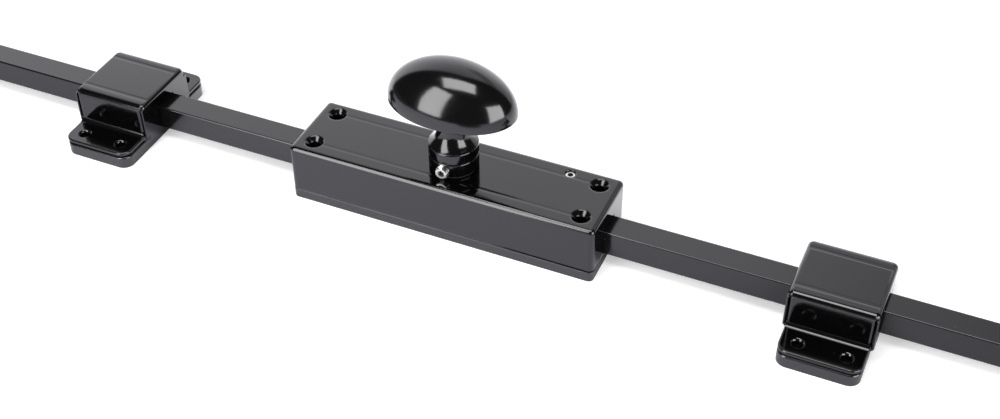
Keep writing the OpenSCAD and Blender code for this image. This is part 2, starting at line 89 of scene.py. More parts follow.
def calc(tree, operation, *values, clamp=False):
    """The result of a math operation on values or sockets."""
    return wire(tree, "Math", dict(enumerate(values)), operation=operation,
                use_clamp=clamp).outputs[0]


def remap(tree, value, start, end, low=0.0, high=1.0, curve="LINEAR"):
    """A value carried over from start and end to low and high, and held beyond them."""
    return wire(tree, "MapRange", {"Value": value, "From Min": start, "From Max": end,
                                   "To Min": low, "To Max": high},
                interpolation_type=curve).outputs["Result"]


def blend(tree, share, first, second, kind="RGBA"):
    """Two colours or numbers, mixed by the share of the second."""
    return wire(tree, "Mix", {"Factor": share, "A": first, "B": second},
                data_type=kind).outputs["Result"]


def start_group(name, takes, gives):
    """A shader node group with named inputs and outputs, its own input node and its output node."""
    group = bpy.data.node_groups.new(name, "ShaderNodeTree")
    for socket, kind, value in takes:
        made = group.interface.new_socket(socket, in_out="INPUT", socket_type="NodeSocket" + kind)
        made.default_value = value
    for socket, kind in gives:
        group.interface.new_socket(socket, in_out="OUTPUT", socket_type="NodeSocket" + kind)
    return group, group.nodes.new("NodeGroupInput"), group.nodes.new("NodeGroupOutput")


def start_finish(name):
    """A material with its node tree and its Principled shader."""
    finish = bpy.data.materials.new(name)
    finish.use_nodes = True
    return finish, finish.node_tree, finish.node_tree.nodes["Principled BSDF"]


def dress(finish, *names):
    """Gives CAD nodes this finish in place of their plain one."""
    for name in names:
        cad[name].data.materials.clear()
        cad[name].data.materials.append(finish)


# What every sprayed coat shows: a slow orange peel, a fine grain, and a few specks of dust
spray, take, give = start_group(
    "Sprayed Coat",
    [("Paint", "Color", (0.01, 0.01, 0.01, 1)), ("Roughness", "Float", 0.2),
     ("Peel Scale", "Float", 500.0), ("Peel Height", "Float", 4e-6),
     ("Grain Height", "Float", 1e-6), ("Dust", "Float", 0.3)],
    [("Colour", "Color"), ("Roughness", "Float"), ("Height", "Float")])
place = object_place(spray)
peel = noise(spray, place, take.outputs["Peel Scale"], detail=1.0, roughness=0.4)
grain = noise(spray, place, 3800.0, detail=1.0)
cloud = noise(spray, place, 45.0, detail=3.0)
cell = wire(spray, "TexVoronoi", {"Vector": place, "Scale": 420.0, "Randomness": 1.0})
speck = remap(spray, cell.outputs["Distance"], 0.09, 0.05)
cell_chance = wire(spray, "SeparateColor", {"Color": cell.outputs["Color"]}).outputs["Red"]
chosen = remap(spray, cell_chance, 0.93, 0.95)
dusty = calc(spray, "MULTIPLY", speck, chosen)
dusty = calc(spray, "MULTIPLY", dusty, take.outputs["Dust"], clamp=True)
dust_colour, dust_roughness = (0.16, 0.155, 0.15, 1), 0.4
colour = blend(spray, dusty, take.outputs["Paint"], dust_colour)
spray.links.new(colour, give.inputs["Colour"])
cloudy = remap(spray, cloud, 0.3, 0.7, 0.85, 1.2)
rough = calc(spray, "MULTIPLY", take.outputs["Roughness"], cloudy)
rough = calc(spray, "MULTIPLY_ADD", dusty, dust_roughness, rough)
spray.links.new(rough, give.inputs["Roughness"])
waves = calc(spray, "MULTIPLY", peel, take.outputs["Peel Height"])
height = calc(spray, "MULTIPLY_ADD", grain, take.outputs["Grain Height"], waves)
spray.links.new(height, give.inputs["Height"])

# Edges: the coat rounds each one a little, and runs thin on it, so it is rubbed a little brighter;
# the lighter colour along them is partly this wear and partly a painted highlight line
thin_edge = 0.0003
rubbed_sheen, take, give = start_group(
    "Rubbed Edges And Sheen",
    [("Colour", "Color", (0.01, 0.01, 0.01, 1)), ("Width", "Float", thin_edge),
     ("Amount", "Float", 0.5)],
    [("Colour", "Color"), ("Rounded", "Vector")])
soft = wire(rubbed_sheen, "Bevel", {"Radius": take.outputs["Width"]}, samples=8).outputs["Normal"]
sharp = wire(rubbed_sheen, "NewGeometry").outputs["Normal"]
level = wire(rubbed_sheen, "VectorMath", {0: soft, 1: sharp}, operation="DOT_PRODUCT").outputs["Value"]
turned = remap(rubbed_sheen, level, 0.995, 0.90)
patchy = remap(rubbed_sheen, noise(rubbed_sheen, object_place(rubbed_sheen), 260.0, detail=4.0), 0.45, 0.62)
edge = calc(rubbed_sheen, "MULTIPLY", turned, patchy)
edge = calc(rubbed_sheen, "MULTIPLY", edge, take.outputs["Amount"], clamp=True)
# Lighter along the edges: partly wear, partly a painted highlight line
rubbed_sheen_colour = (0.075, 0.07, 0.068, 1)
colour = blend(rubbed_sheen, edge, take.outputs["Colour"], rubbed_sheen_colour)
rubbed_sheen.links.new(colour, give.inputs["Colour"])
rubbed_sheen.links.new(soft, give.inputs["Rounded"])


def spray_on(tree, shader, paint, roughness, peel_scale, peel_height, grain_height, dust, rub_and_sheen,
             edge_width=thin_edge):
    """Joins the coat and rubbed edges, lighter with wear and a painted highlight, to a shader.
    Returns the coat's height and round edges.
    """
    coat = wire(tree, "Group", {
        "Paint": paint, "Roughness": roughness, "Peel Scale": peel_scale,
        "Peel Height": peel_height, "Grain Height": grain_height, "Dust": dust}, node_tree=spray)
    edges = wire(tree, "Group", {"Colour": coat.outputs["Colour"], "Width": edge_width,
                                 "Amount": rub_and_sheen}, node_tree=rubbed_sheen)
    tree.links.new(edges.outputs["Colour"], shader.inputs["Base Color"])
    tree.links.new(coat.outputs["Roughness"], shader.inputs["Roughness"])
    return coat.outputs["Height"], edges.outputs["Rounded"]


def emboss(tree, shader, height, round_edges=None):
    """Bumps a surface by a height in metres, over round edges if they are given."""
    bump = wire(tree, "Bump", {"Height": height, "Distance": 1.0, "Strength": 1.0})
    if round_edges:
        tree.links.new(round_edges, bump.inputs["Normal"])
    tree.links.new(bump.outputs["Normal"], shader.inputs["Normal"])


satin_plate, tree, shader = start_finish("satin_black_plate")
shader.inputs["IOR"].default_value = 1.6
height, _ = spray_on(tree, shader, paint=(0.024, 0.023, 0.025, 1), roughness=0.38,
                     peel_scale=650.0, peel_height=4e-6, grain_height=2.5e-6, dust=0.5, rub_and_sheen=0.35)
emboss(tree, shader, height)
dress(satin_plate, "gearbox_base_plate")


# Bushes. Two flanged sleeves of pale bearing polymer, one pressed into the base plate and one into
# the cover. The pinion's journals turn in them.

def ramp(tree, value, stops):
    """A colour that runs through stops of position and colour."""
    node = wire(tree, "ValToRGB", {"Fac": value})
    made = node.color_ramp.elements
    for number, (position, colour) in enumerate(stops):
        stop = made[number] if number < 2 else made.new(position)
        stop.position = position
        stop.color = colour
    return node.outputs["Color"]


def bare_surface(tree, shader, tints, cloud_scale, gloss, grain_scale, grain_height):
    """Makes a finish cloudy in tint and gloss, with a fine grain. Returns the tint."""
    place = object_place(tree)
    cloud = noise(tree, place, cloud_scale, detail=3.0)
    tint = ramp(tree, cloud, tints)
    tree.links.new(tint, shader.inputs["Base Color"])
    tree.links.new(remap(tree, cloud, 0.0, 1.0, *gloss), shader.inputs["Roughness"])
    grain = noise(tree, place, grain_scale)
    emboss(tree, shader, calc(tree, "MULTIPLY", grain, grain_height))
    return tint


bush_polymer, tree, shader = start_finish("bush_polymer")
shader.inputs["IOR"].default_value = 1.5
bare_surface(tree, shader, ((0.35, (0.60, 0.57, 0.48, 1)), (0.70, (0.72, 0.69, 0.61, 1))),
             cloud_scale=90.0, gloss=(0.38, 0.55), grain_scale=2400.0, grain_height=2e-6)
dress(bush_polymer, "base_bush", "cover_bush")


# Pinion and spindle. The pinion is cut from steel bar, teeth and journals in one piece, and left
# bare. The square spindle is drawn steel, and carries the knob's turn down into the pinion.

cut_steel, tree, shader = start_finish("cut_steel")
shader.inputs["Metallic"].default_value = 1.0
place = object_place(tree)
tooling = wire(tree, "Mapping", {"Vector": place, "Scale": (1.0, 1.0, 14.0)})
marks = noise(tree, tooling.outputs["Vector"], 420.0, detail=3.0)
stain = noise(tree, place, 70.0, detail=4.0)
tint = ramp(tree, stain, ((0.30, (0.32, 0.31, 0.30, 1)), (0.65, (0.50, 0.495, 0.485, 1))))
tree.links.new(tint, shader.inputs["Base Color"])
tree.links.new(remap(tree, marks, 0.3, 0.7, 0.28, 0.46), shader.inputs["Roughness"])
mark_height = 5e-6
emboss(tree, shader, calc(tree, "MULTIPLY", marks, mark_height))
dress(cut_steel, "drive_pinion", "drive_spindle", "left_rack", "right_rack")


# Bars and racks. Each bar is drawn square steel, half an inch, sprayed satin black. Each rack is
# bare steel, laid along the bar's inner end and held by two countersunk screws. The bar's paint is
# thin enough to show the drawing lines of the steel, which run along it.

bar_paint, tree, shader = start_finish("satin_black_bar")
shader.inputs["IOR"].default_value = 1.7
height, _ = spray_on(tree, shader, paint=(0.003, 0.0028, 0.0032, 1), roughness=0.13,
                     peel_scale=420.0, peel_height=3e-6, grain_height=1.2e-6, dust=0.6, rub_and_sheen=0.5)
along = wire(tree, "Mapping", {"Vector": object_place(tree), "Scale": (0.05, 1.0, 1.0)})
drawn = noise(tree, along.outputs["Vector"], 900.0, detail=3.0)
line_height = 4e-6
emboss(tree, shader, calc(tree, "MULTIPLY_ADD", drawn, line_height, height))
dress(bar_paint, "left_bar", "right_bar")


# Rack screws and base plate screws. Zinc-plated M4 countersunk screws with a hexagon socket.
# Two hold each rack to its bar, and two hold the cover to its plate. They are rolled, so the
# thread stands as high as the shank.

MM = 0.001


def make_piece(name, bm):
    """Turns a bmesh into an object at the origin."""
    mesh = bpy.data.meshes.new(name)
    bm.to_mesh(mesh)
    bm.free()
    piece = bpy.data.objects.new(name, mesh)
    bpy.context.scene.collection.objects.link(piece)
    return piece


def take_result(piece, step):
    """Gives a piece the mesh that a modifier makes of it."""
    bpy.context.view_layer.update()
    finished = bpy.data.meshes.new_from_object(
        piece.evaluated_get(bpy.context.evaluated_depsgraph_get()))
    piece.modifiers.remove(step)
    piece.data = finished


def combine(piece, tool, operation):
    """Applies a boolean of a tool to a piece, and removes the tool."""
    step = piece.modifiers.new(operation, "BOOLEAN")
    step.operation = operation
    step.object = tool
    step.solver = "EXACT"
    take_result(piece, step)
    bpy.data.objects.remove(tool)


def thread_rod(radius, pitch, low, high):
    """A closed rod along Z with a 60 degree thread, between two heights, as a new object."""
    steps = 28
    crest, root, flank = pitch / 8, pitch / 4, pitch * 5 / 16
    depth = flank * math.sqrt(3)
    turns = math.ceil((high - low) / pitch) + 3
    bm = bmesh.new()
    base = low - 2 * pitch
    line = [(radius - depth, 0), (radius - depth, root), (radius, root + flank),
            (radius, root + flank + crest), (radius - depth, pitch)]
    corners = [bm.verts.new((r, 0, base + z)) for r, z in line]
    edges = [bm.edges.new(pair) for pair in zip(corners, corners[1:])]
    bmesh.ops.spin(bm, geom=corners + edges, cent=(0, 0, 0), axis=(0, 0, 1),
                   dvec=(0, 0, pitch / steps), angle=2 * math.pi * turns, steps=steps * turns)
    bmesh.ops.remove_doubles(bm, verts=bm.verts, dist=radius * 1e-4)
    for z, up in ((low, -1), (high, 1)):
        bmesh.ops.bisect_plane(bm, geom=bm.verts[:] + bm.edges[:] + bm.faces[:],
                               plane_co=(0, 0, z), plane_no=(0, 0, up), clear_outer=True)
    bmesh.ops.holes_fill(bm, edges=[e for e in bm.edges if e.is_boundary], sides=0)
    bmesh.ops.recalc_face_normals(bm, faces=bm.faces)
    return make_piece("thread", bm)


def turned_solid(name, line, sides=48):
    """A solid of revolution about Z from a line of (radius, height) points, closed on the axis."""
    bm = bmesh.new()
    corners = [bm.verts.new((r, 0, z)) for r, z in line]
    edges = [bm.edges.new(pair) for pair in zip(corners, corners[1:])]
    bmesh.ops.spin(bm, geom=corners + edges, cent=(0, 0, 0), axis=(0, 0, 1),
                   angle=2 * math.pi, steps=sides, use_merge=True)
    bmesh.ops.remove_doubles(bm, verts=bm.verts, dist=1e-7)
    bmesh.ops.recalc_face_normals(bm, faces=bm.faces)
    return make_piece(name, bm)


def hexagon_key(across_flats, depth):
    """The space of a hexagon key in a face at the origin: a prism over a shallow drilled point."""
    bm = bmesh.new()
    radius = across_flats / 2 / math.cos(math.pi / 6)
    over = 1 * MM
    bmesh.ops.create_cone(bm, cap_ends=True, segments=6, radius1=radius, radius2=radius,
                          depth=depth + over, matrix=Matrix.Translation((0, 0, (over - depth) / 2)))
    foot = min(bm.faces, key=lambda f: f.calc_center_median().z)
    point = bmesh.ops.poke(bm, faces=[foot])["verts"][0]
    point_share = 0.35
    point.co.z -= radius * point_share
    return make_piece("key", bm)


def shade_crisp(piece):
    """Smooth faces, with a crisp edge wherever two of them meet at more than a slight angle."""
    slight = math.radians(22)
    for face in piece.data.polygons:
        face.use_smooth = True
    bm = bmesh.new()
    bm.from_mesh(piece.data)
    for line in bm.edges:
        line.smooth = line.is_manifold and line.calc_face_angle(0) < slight
    bm.to_mesh(piece.data)
    bm.free()


def countersunk_screw(d, length, pitch, socket):
    """Screw with its head up at the origin and its thread down Z."""
    shank, head_height = d / 2, d / 2
    bevel, land = pitch * 0.7, 0.25 * MM
    thread_top, blank_top, socket_depth = -head_height * 0.7, 0.5 * MM, head_height * 0.9
    screw = thread_rod(shank, pitch, -length, thread_top)
    blank = turned_solid("blank", [(0, -length), (shank - bevel, -length), (shank, bevel - length),
                                   (shank, blank_top), (0, blank_top)])
    combine(screw, blank, "INTERSECT")
    head = turned_solid("head", [(0, -head_height), (shank, -head_height),
                                 (2 * shank - land, -land), (2 * shank - land, 0), (0, 0)])
    combine(screw, head, "UNION")
    combine(screw, hexagon_key(socket, socket_depth), "DIFFERENCE")
    shade_crisp(screw)
    return screw


zinc, tree, shader = start_finish("zinc_plated_steel")
shader.inputs["Metallic"].default_value = 1.0
bare_surface(tree, shader, ((0.35, (0.52, 0.53, 0.55, 1)), (0.68, (0.68, 0.67, 0.63, 1))),
             cloud_scale=500.0, gloss=(0.20, 0.42), grain_scale=2600.0, grain_height=3e-6)


def islands(name):
    """Lowest and highest corner of each separate solid in a CAD node, left to right."""
    bm = bmesh.new()
    bm.from_mesh(cad[name].data)
    bmesh.ops.remove_doubles(bm, verts=bm.verts, dist=1e-6)
    left, boxes = set(bm.verts), []
    while left:
        reach, queue = set(), [left.pop()]
        while queue:
            vert = queue.pop()
            reach.add(vert)
            for line in vert.link_edges:
                other = line.other_vert(vert)
                if other in left:
                    left.discard(other)
                    queue.append(other)
        spots = [v.co for v in reach]
        boxes.append((Vector([min(s[i] for s in spots) for i in range(3)]),
                      Vector([max(s[i] for s in spots) for i in range(3)])))
    bm.free()
    return sorted(boxes, key=lambda box: box[0].x)


def fit_screws(node, one_screw, head_way, finish, body):
    """Puts a copy of a screw on each solid of a CAD node, head towards head_way, and joins them."""
    turn = Vector(head_way).to_track_quat("Z", "Y").to_matrix().to_4x4()
    bm = bmesh.new()
    for low, high in islands(node):
        centre = (low + high) / 2
        reach = Vector([(high[i] - low[i]) / 2 * head_way[i] for i in range(3)])
        copy = one_screw.data.copy()
        copy.transform(Matrix.Translation(centre + reach) @ turn)
        bm.from_mesh(copy)
        bpy.data.meshes.remove(copy)
    group = make_piece(node + "_cut_thread", bm)
    group.data.materials.append(finish)
    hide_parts(node)
    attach(group, body)


m4_screw = countersunk_screw(d=4 * MM, length=14 * MM, pitch=0.7 * MM, socket=2.5 * MM)
for node, head_way, body in (("base_plate_screws", (0, 0, -1), "housing"),
                             ("left_rack_screws", (0, -1, 0), "left_bar"),
                             ("right_rack_screws", (0, 1, 0), "right_bar")):
    fit_screws(node, m4_screw, head_way, zinc, body)
bpy.data.objects.remove(m4_screw)


# Gearbox cover. A zinc casting, open below, with solid ends that the bars pass through and four
# countersunk holes for wood screws. A shallow groove runs along the roof over each long wall. It is
# coated deep gloss black, thick enough to smooth the edges.

def gloss_coat(name, roughness, peel_height, shade=0.0014, rounding=0.0):
    """Deep gloss black coat over a casting, with orange peel. A thick one rounds the edges."""
    finish, tree, shader = start_finish(name)
    shader.inputs["IOR"].default_value = 1.7
    height, round_edges = spray_on(
        tree, shader, paint=(shade, shade, shade * 1.15, 1), roughness=roughness,
        peel_scale=380.0, peel_height=peel_height, grain_height=6e-7, dust=0.35, rub_and_sheen=0.25,
        edge_width=rounding or thin_edge)
    emboss(tree, shader, height, round_edges if rounding else None)
    return finish


cover_coat = gloss_coat("gloss_black_cover", roughness=0.10, peel_height=4e-6, rounding=0.0012)
# At its right end the cover stands a hair off its plate, so its lower edge there is dark: it is
# tilted to mirror the dark side of the room
seam_top, seam_foot, seam_start, seam_full = 0.0062, 0.0060, 0.026, 0.052
tree = cover_coat.node_tree
spot = wire(tree, "SeparateXYZ", {"Vector": object_place(tree)})
low = remap(tree, spot.outputs["Z"], seam_top, seam_foot)
near_end = remap(tree, spot.outputs["X"], seam_start, seam_full)
tilted = wire(tree, "VectorMath", {0: calc(tree, "MULTIPLY", low, near_end), 1: (4.5, -7.5, 5.0),
                                   2: tree.nodes["Bump"].outputs["Normal"]},
              operation="MULTIPLY_ADD")
tilted = wire(tree, "VectorMath", {0: tilted.outputs["Vector"]}, operation="NORMALIZE")
tree.links.new(tilted.outputs["Vector"], tree.nodes["Principled BSDF"].inputs["Normal"])
dress(cover_coat, "gearbox_cover")


# Lock screw and knob grub screw. Bright stainless socket grub screws. The M5 lock screw stands in
# the cover beside the bar and is screwed down on the rack. The M6 one clamps the knob's shank on
# its spindle and stands a little out of the collar, so that its first threads show.

stainless, tree, shader = start_finish("bright_steel")
shader.inputs["Metallic"].default_value = 1.0
tint = bare_surface(
    tree, shader, ((0.30, (0.66, 0.65, 0.61, 1)), (0.62, (0.80, 0.79, 0.76, 1))),
    cloud_scale=700.0, gloss=(0.12, 0.30), grain_scale=3000.0, grain_height=1.5e-6)
# Darker in the socket and between the threads, by an occlusion mask: partly oil and dust lying
# there, partly painted shade
hollow_occlusion = wire(tree, "AmbientOcclusion", {"Distance": 0.003}, samples=8, only_local=True)
grime_and_shade = remap(tree, hollow_occlusion.outputs["AO"], 0.35, 0.8, 0.45, 0.0)
tint = blend(tree, grime_and_shade, tint, (0.08, 0.06, 0.035, 1))
# Seen in a coat more than a centimetre away, the screw is painted nearly black: a painted darkening
# of its reflection
ray = wire(tree, "LightPath")
afar = remap(tree, ray.outputs["Ray Length"], 0.008, 0.012, 0.0, 0.8)
mirrored = calc(tree, "MULTIPLY", ray.outputs["Is Glossy Ray"], afar)
tint = blend(tree, mirrored, tint, (0.012, 0.009, 0.006, 1))
tree.links.new(tint, shader.inputs["Base Color"])


def grub_screw(d, pitch):
    """Socket grub screw with its socket face up at the origin and its thread down Z."""
    length, bevel, socket_depth = 10 * MM, 0.3 * MM, 3 * MM
    screw = thread_rod(d / 2, pitch, -length, 0)
    blank = turned_solid("blank", [
        (0, -length), (d / 2 - bevel, -length), (d / 2, bevel - length), (d / 2, -bevel),
        (d / 2 - bevel, 0), (0, 0)])
    combine(screw, blank, "INTERSECT")
    combine(screw, hexagon_key(d / 2, socket_depth), "DIFFERENCE")
    shade_crisp(screw)
    return screw


for node, d, pitch, head_way, body in (
        ("lock_screw", 5 * MM, 0.8 * MM, (0, 0, 1), "lock_screw"),
        ("knob_grub_screw", 6 * MM, 1 * MM, (0, -1, 0), "knob")):
    screw = grub_screw(d, pitch)
    fit_screws(node, screw, head_way, stainless, body)
    bpy.data.objects.remove(screw)


# Knob. A turned shank with a collar, a groove, a rim and a concave neck, and the cast oval knob
# on its tenon. Both are polished before they are coated, so their gloss is the deepest. The knob is
# an oval dome whose underside draws in to the round neck.

knob_paint = gloss_coat("gloss_black_knob", roughness=0.13, peel_height=1.2e-5, shade=0.0018)
dress(knob_paint, "knob_shank")

half_length, half_width = 30.6 * MM, 19.4 * MM
dome_height, under_depth = 21.8 * MM, 4.6 * MM
widest_z, neck_radius = 63.0 * MM, 9.6 * MM


def under_reach(share, full):
    """Half axis of the underside: the neck's radius in the middle, the full one at the rim."""
    return (neck_radius ** 4 + (share * full) ** 4 * (1 - (neck_radius / full) ** 4)) ** 0.25


bm = bmesh.new()
bmesh.ops.create_uvsphere(bm, u_segments=144, v_segments=80, radius=1.0)
for vert in bm.verts:
    x, y, z = vert.co
    share = math.hypot(x, y)
    if z >= 0:
        vert.co = (x * half_length, y * half_width, widest_z + z * dome_height)
    elif share > 1e-4:
        vert.co = (x / share * under_reach(share, half_length),
                   y / share * under_reach(share, half_width), widest_z + z * under_depth)
    else:
        vert.co = (0, 0, widest_z - under_depth)
for face in bm.faces:
    face.smooth = True
oval = make_piece("oval_knob_smooth", bm)
oval.data.materials.append(knob_paint)
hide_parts("oval_knob")
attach(oval, "knob")


# Knob washer. A thin disc of black acetal that lies on the cover under the collar.

washer_polymer, tree, shader = start_finish("black_polymer")
shader.inputs["IOR"].default_value = 1.5
bare_surface(tree, shader, ((0.35, (0.012, 0.012, 0.013, 1)), (0.70, (0.020, 0.020, 0.021, 1))),
             cloud_scale=300.0, gloss=(0.40, 0.58), grain_scale=2600.0, grain_height=2e-6)
dress(washer_polymer, "knob_washer")


# Guides. Each is a cast hood on a steel plate, with four countersunk holes through both. The hood
# has an upright web at each side and two flanges, and its foot is set back, so that a dark gap
# shows between flange and plate. It has the cover's gloss coat, and the plate is satin.

plate_top, flange_top, hood_top = 6 * MM, 8.9 * MM, 26.5 * MM
flange_length, flange_width, flange_corner = 36 * MM, 70.4 * MM, 5.2 * MM
foot_gap, foot_setback = 1.2 * MM, 2 * MM
hood_length, hood_width, middle_length = 39 * MM, 36.4 * MM, 36.6 * MM
hood_corner, hood_edge = 2.3 * MM, 2.2 * MM
web_length, web_width, web_top, web_hollow = 36 * MM, 38.4 * MM, 24.7 * MM, 2.4 * MM
rear_web_drop = 2.4 * MM
rib_thickness, rib_inset, rib_setback = 1.2 * MM, 0.62 * MM, 0.2 * MM
passage_half, passage_top = 6.7 * MM, 19.4 * MM
groove_across = 12.2 * MM
hole_along, hole_across, hole_radius, hole_mouth = 10.4 * MM, 28.3 * MM, 2.2 * MM, 3 * MM
nearly_sharp = 0.05 * MM


def rounded_block(length, width, low, high, corner, top_edge, foot_edge=0.0, at=(0, 0)):
    """A block between two heights, with round upright corners and round edges."""
    bm = bmesh.new()
    bmesh.ops.create_cube(bm, size=1.0, matrix=Matrix.Translation((0, 0, (low + high) / 2))
                          @ Matrix.Diagonal((length, width, high - low, 1)))
    upright = [e for e in bm.edges if abs(e.verts[0].co.z - e.verts[1].co.z) > MM / 10]
    bmesh.ops.bevel(bm, geom=upright, offset=corner, affect="EDGES", segments=10, profile=0.5,
                    material=-1)
    for level, radius in ((high, top_edge), (low, foot_edge)):
        rim = [e for e in bm.edges if all(abs(v.co.z - level) < MM / 100 for v in e.verts)]
        if radius:
            bmesh.ops.bevel(bm, geom=rim, offset=radius, affect="EDGES", segments=7,
                            profile=0.5, material=-1)
    bmesh.ops.recalc_face_normals(bm, faces=bm.faces)
    block = make_piece("block", bm)
    block.data.transform(Matrix.Translation((*at, 0)))
    return block


def rod_along(length, radius, y, z):
    """A round rod along X."""
    bm = bmesh.new()
    bmesh.ops.create_cone(bm, cap_ends=True, segments=96, radius1=radius, radius2=radius,
                          depth=length, matrix=Matrix.Translation((0, y, z))
                          @ Matrix.Rotation(math.pi / 2, 4, "Y"))
    return make_piece("rod", bm)


def groove_tool(length, y, top):
    """The space of a shallow groove along X, with sloped sides. Its outline is in millimetres."""
    outline = ((1.2, 0), (0.65, -0.2), (-0.5, -0.2), (-1.2, 0), (-1.2, 1), (1.2, 1))
    bm = bmesh.new()
    line = [bm.verts.new((-length / 2, y + across * MM, top + up * MM)) for across, up in outline]
    face = bm.faces.new(line)
    grown = bmesh.ops.extrude_face_region(bm, geom=[face])["geom"]
    bmesh.ops.translate(bm, verts=[g for g in grown if isinstance(g, bmesh.types.BMVert)],
                        vec=(length, 0, 0))
    bmesh.ops.recalc_face_normals(bm, faces=bm.faces)
    return make_piece("groove", bm)


def ease_edges(piece, length, width, top, radius, end_share):
    """Lets the round top edges roll off sooner on the roof, and draws the end corners tighter."""
    early_roll = 0.45
    for vert in piece.data.vertices:
        spot = vert.co
        lift = max(0.0, (spot.z - top + radius) / radius)
        inset = width / 2 - abs(spot.y)
        if inset < radius + MM / 100:
            spot.y = math.copysign(width / 2 - inset * (1 + early_roll * lift), spot.y)
        inset = length / 2 - abs(spot.x)
        if inset < radius + MM / 4:
            spot.x = math.copysign(length / 2 - inset * end_share, spot.x)


def hole_tool(low, high, bore, mouth):
    """The space of a drilled hole with a countersink, whose edges the coat has rounded."""
    sink, lip = mouth - bore, 0.25 * MM
    return [(0, low), (bore, low), (bore, high - 1.5 * sink),
            (bore + 0.12 * sink, high - 1.1 * sink), (bore + 0.35 * sink, high - 0.7 * sink),
            (bore + 0.7 * sink, high - 0.3 * sink), (mouth, high - 0.1 * sink),
            (mouth + lip, high), (mouth + lip, high + MM), (0, high + MM)]


def drill_four(piece, line):
    """Drills the four fixing holes with a turned tool of this outline."""
    for x in (-hole_along, hole_along):
        for y in (-hole_across, hole_across):
            tool = turned_solid("drill", line, sides=40)
            tool.data.transform(Matrix.Translation((x, y, 0)))
            combine(piece, tool, "DIFFERENCE")


def finish_casting(piece, name, coat):
    """Crisp where faces meet at an angle, smooth elsewhere, with flat faces kept flat."""
    shade_crisp(piece)
    weigh = piece.modifiers.new("weigh", "WEIGHTED_NORMAL")
    weigh.keep_sharp = True
    take_result(piece, weigh)
    piece.name = name
    piece.data.name = name
    piece.data.materials.clear()
    piece.data.materials.append(coat)


# The hood's two ends are a hair narrower and lower than its middle
end_width, end_top = hood_width - 0.2 * MM, hood_top - MM / 50
hood = rounded_block(hood_length, end_width, plate_top, end_top, hood_corner, hood_edge)
ease_edges(hood, hood_length, end_width, end_top, hood_edge, end_share=1.0)
middle = rounded_block(middle_length, hood_width, plate_top, hood_top, hood_corner, hood_edge)
ease_edges(middle, middle_length, hood_width, hood_top, hood_edge, end_share=0.4)
combine(hood, middle, "UNION")
# The webs stand out from the hood, each between two upright ribs with a narrow slot beside them
for side, top in ((-1, web_top), (1, web_top - rear_web_drop)):
    web_y = web_width / 4
    web = rounded_block(web_length, web_width / 2, plate_top, top, corner=1.4 * MM,
                        top_edge=0.2 * MM, at=(0, side * web_y))
    combine(hood, web, "UNION")
    for end in (-1, 1):
        rib = rounded_block(
            rib_thickness, web_width / 2, flange_top - 0.6 * MM, top - 0.3 * MM, corner=0.5 * MM,
            top_edge=0.35 * MM,
            at=(end * (hood_length / 2 - rib_inset), side * (web_y - rib_setback)))
        combine(hood, rib, "UNION")
flange_foot = plate_top + foot_gap
flanges = rounded_block(flange_length, flange_width, flange_foot, flange_top, flange_corner,
                        top_edge=0.7 * MM, foot_edge=0.25 * MM)
combine(hood, flanges, "UNION")
foot = rounded_block(flange_length - 2 * foot_setback, flange_width - 2 * foot_setback, plate_top,
                     flange_foot + MM, flange_corner - foot_setback, top_edge=0.2 * MM)
combine(hood, foot, "UNION")
# A hollow leads from each web into its flange, and a groove runs along the roof above it
for side in (-1, 1):
    hollow_y, hollow_z = side * (web_width / 2 + web_hollow), flange_top + web_hollow
    strip_width = web_hollow + MM
    strip = rounded_block(web_length - 0.4 * MM, strip_width, flange_top - MM, hollow_z,
                          nearly_sharp, 0, at=(0, hollow_y - side * strip_width / 2))
    combine(strip, rod_along(hood_length * 2, web_hollow, hollow_y, hollow_z), "DIFFERENCE")
    combine(hood, strip, "UNION")
    combine(hood, groove_tool(hood_length * 2, side * groove_across, hood_top), "DIFFERENCE")
passage = rounded_block(hood_length * 2, 2 * passage_half, 0, passage_top, nearly_sharp, 0)
combine(hood, passage, "DIFFERENCE")
drill_four(hood, hole_tool(plate_top - MM, flange_top, hole_radius, hole_mouth))
guide_coat = gloss_coat("gloss_black_guide", roughness=0.10, peel_height=4e-6)
finish_casting(hood, "left_guide_cover_coated", guide_coat)

plate = rounded_block(flange_length, flange_width, 0, plate_top, flange_corner, 0.9 * MM)
drill_four(plate, [(0, -MM), (hole_radius, -MM), (hole_radius, plate_top + MM),
                   (0, plate_top + MM)])
plate_coat, tree, shader = start_finish("satin_black_guide_plate")
shader.inputs["IOR"].default_value = 1.8
height, _ = spray_on(tree, shader, paint=(0.009, 0.0086, 0.0094, 1), roughness=0.15,
                     peel_scale=650.0, peel_height=4e-6, grain_height=2e-6, dust=0.5, rub_and_sheen=0.35)
emboss(tree, shader, height)
finish_casting(plate, "left_guide_plate", plate_coat)

for piece, node, slot, name in (
        (hood, "guide_cover", "gloss_black_paint", "right_guide_cover_coated"),
        (plate, "guide_base", "satin_black_paint", "right_guide_plate")):
    right = bpy.data.objects.new(name, piece.data.copy())
    bpy.context.scene.collection.objects.link(right)
    for guide, side in ((piece, "left_"), (right, "right_")):
        low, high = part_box(side + node)
        guide.data.transform(Matrix.Translation(((low[0] + high[0]) / 2, 0, 0)))
        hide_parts(side + node)
        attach(guide, "housing")


# Table. A plain white sheet that the bolt lies on. Its front edge ends a hand's width before the
# bolt, so the polished faces turn dark where they look past it.

table_front, table_back = -0.26, 2.6
table_left, table_right = -2.4, 0.95
bm = bmesh.new()
corners = [bm.verts.new((x, y, 0)) for x, y in (
    (table_left, table_front), (table_right, table_front), (table_right, table_back),
    (table_left, table_back))]
bm.faces.new(corners)
table = make_piece("table", bm)


def painted_second_reflection_share(tree, ray):
    """Share of brightness kept in what a coat mirrors: all of it in a first reflection, and 0.15 in
    a reflection seen in another coat, which is painted nearly dark.
    """
    return remap(tree, ray.outputs["Glossy Depth"], 1.0, 2.0, 1.0, 0.15)


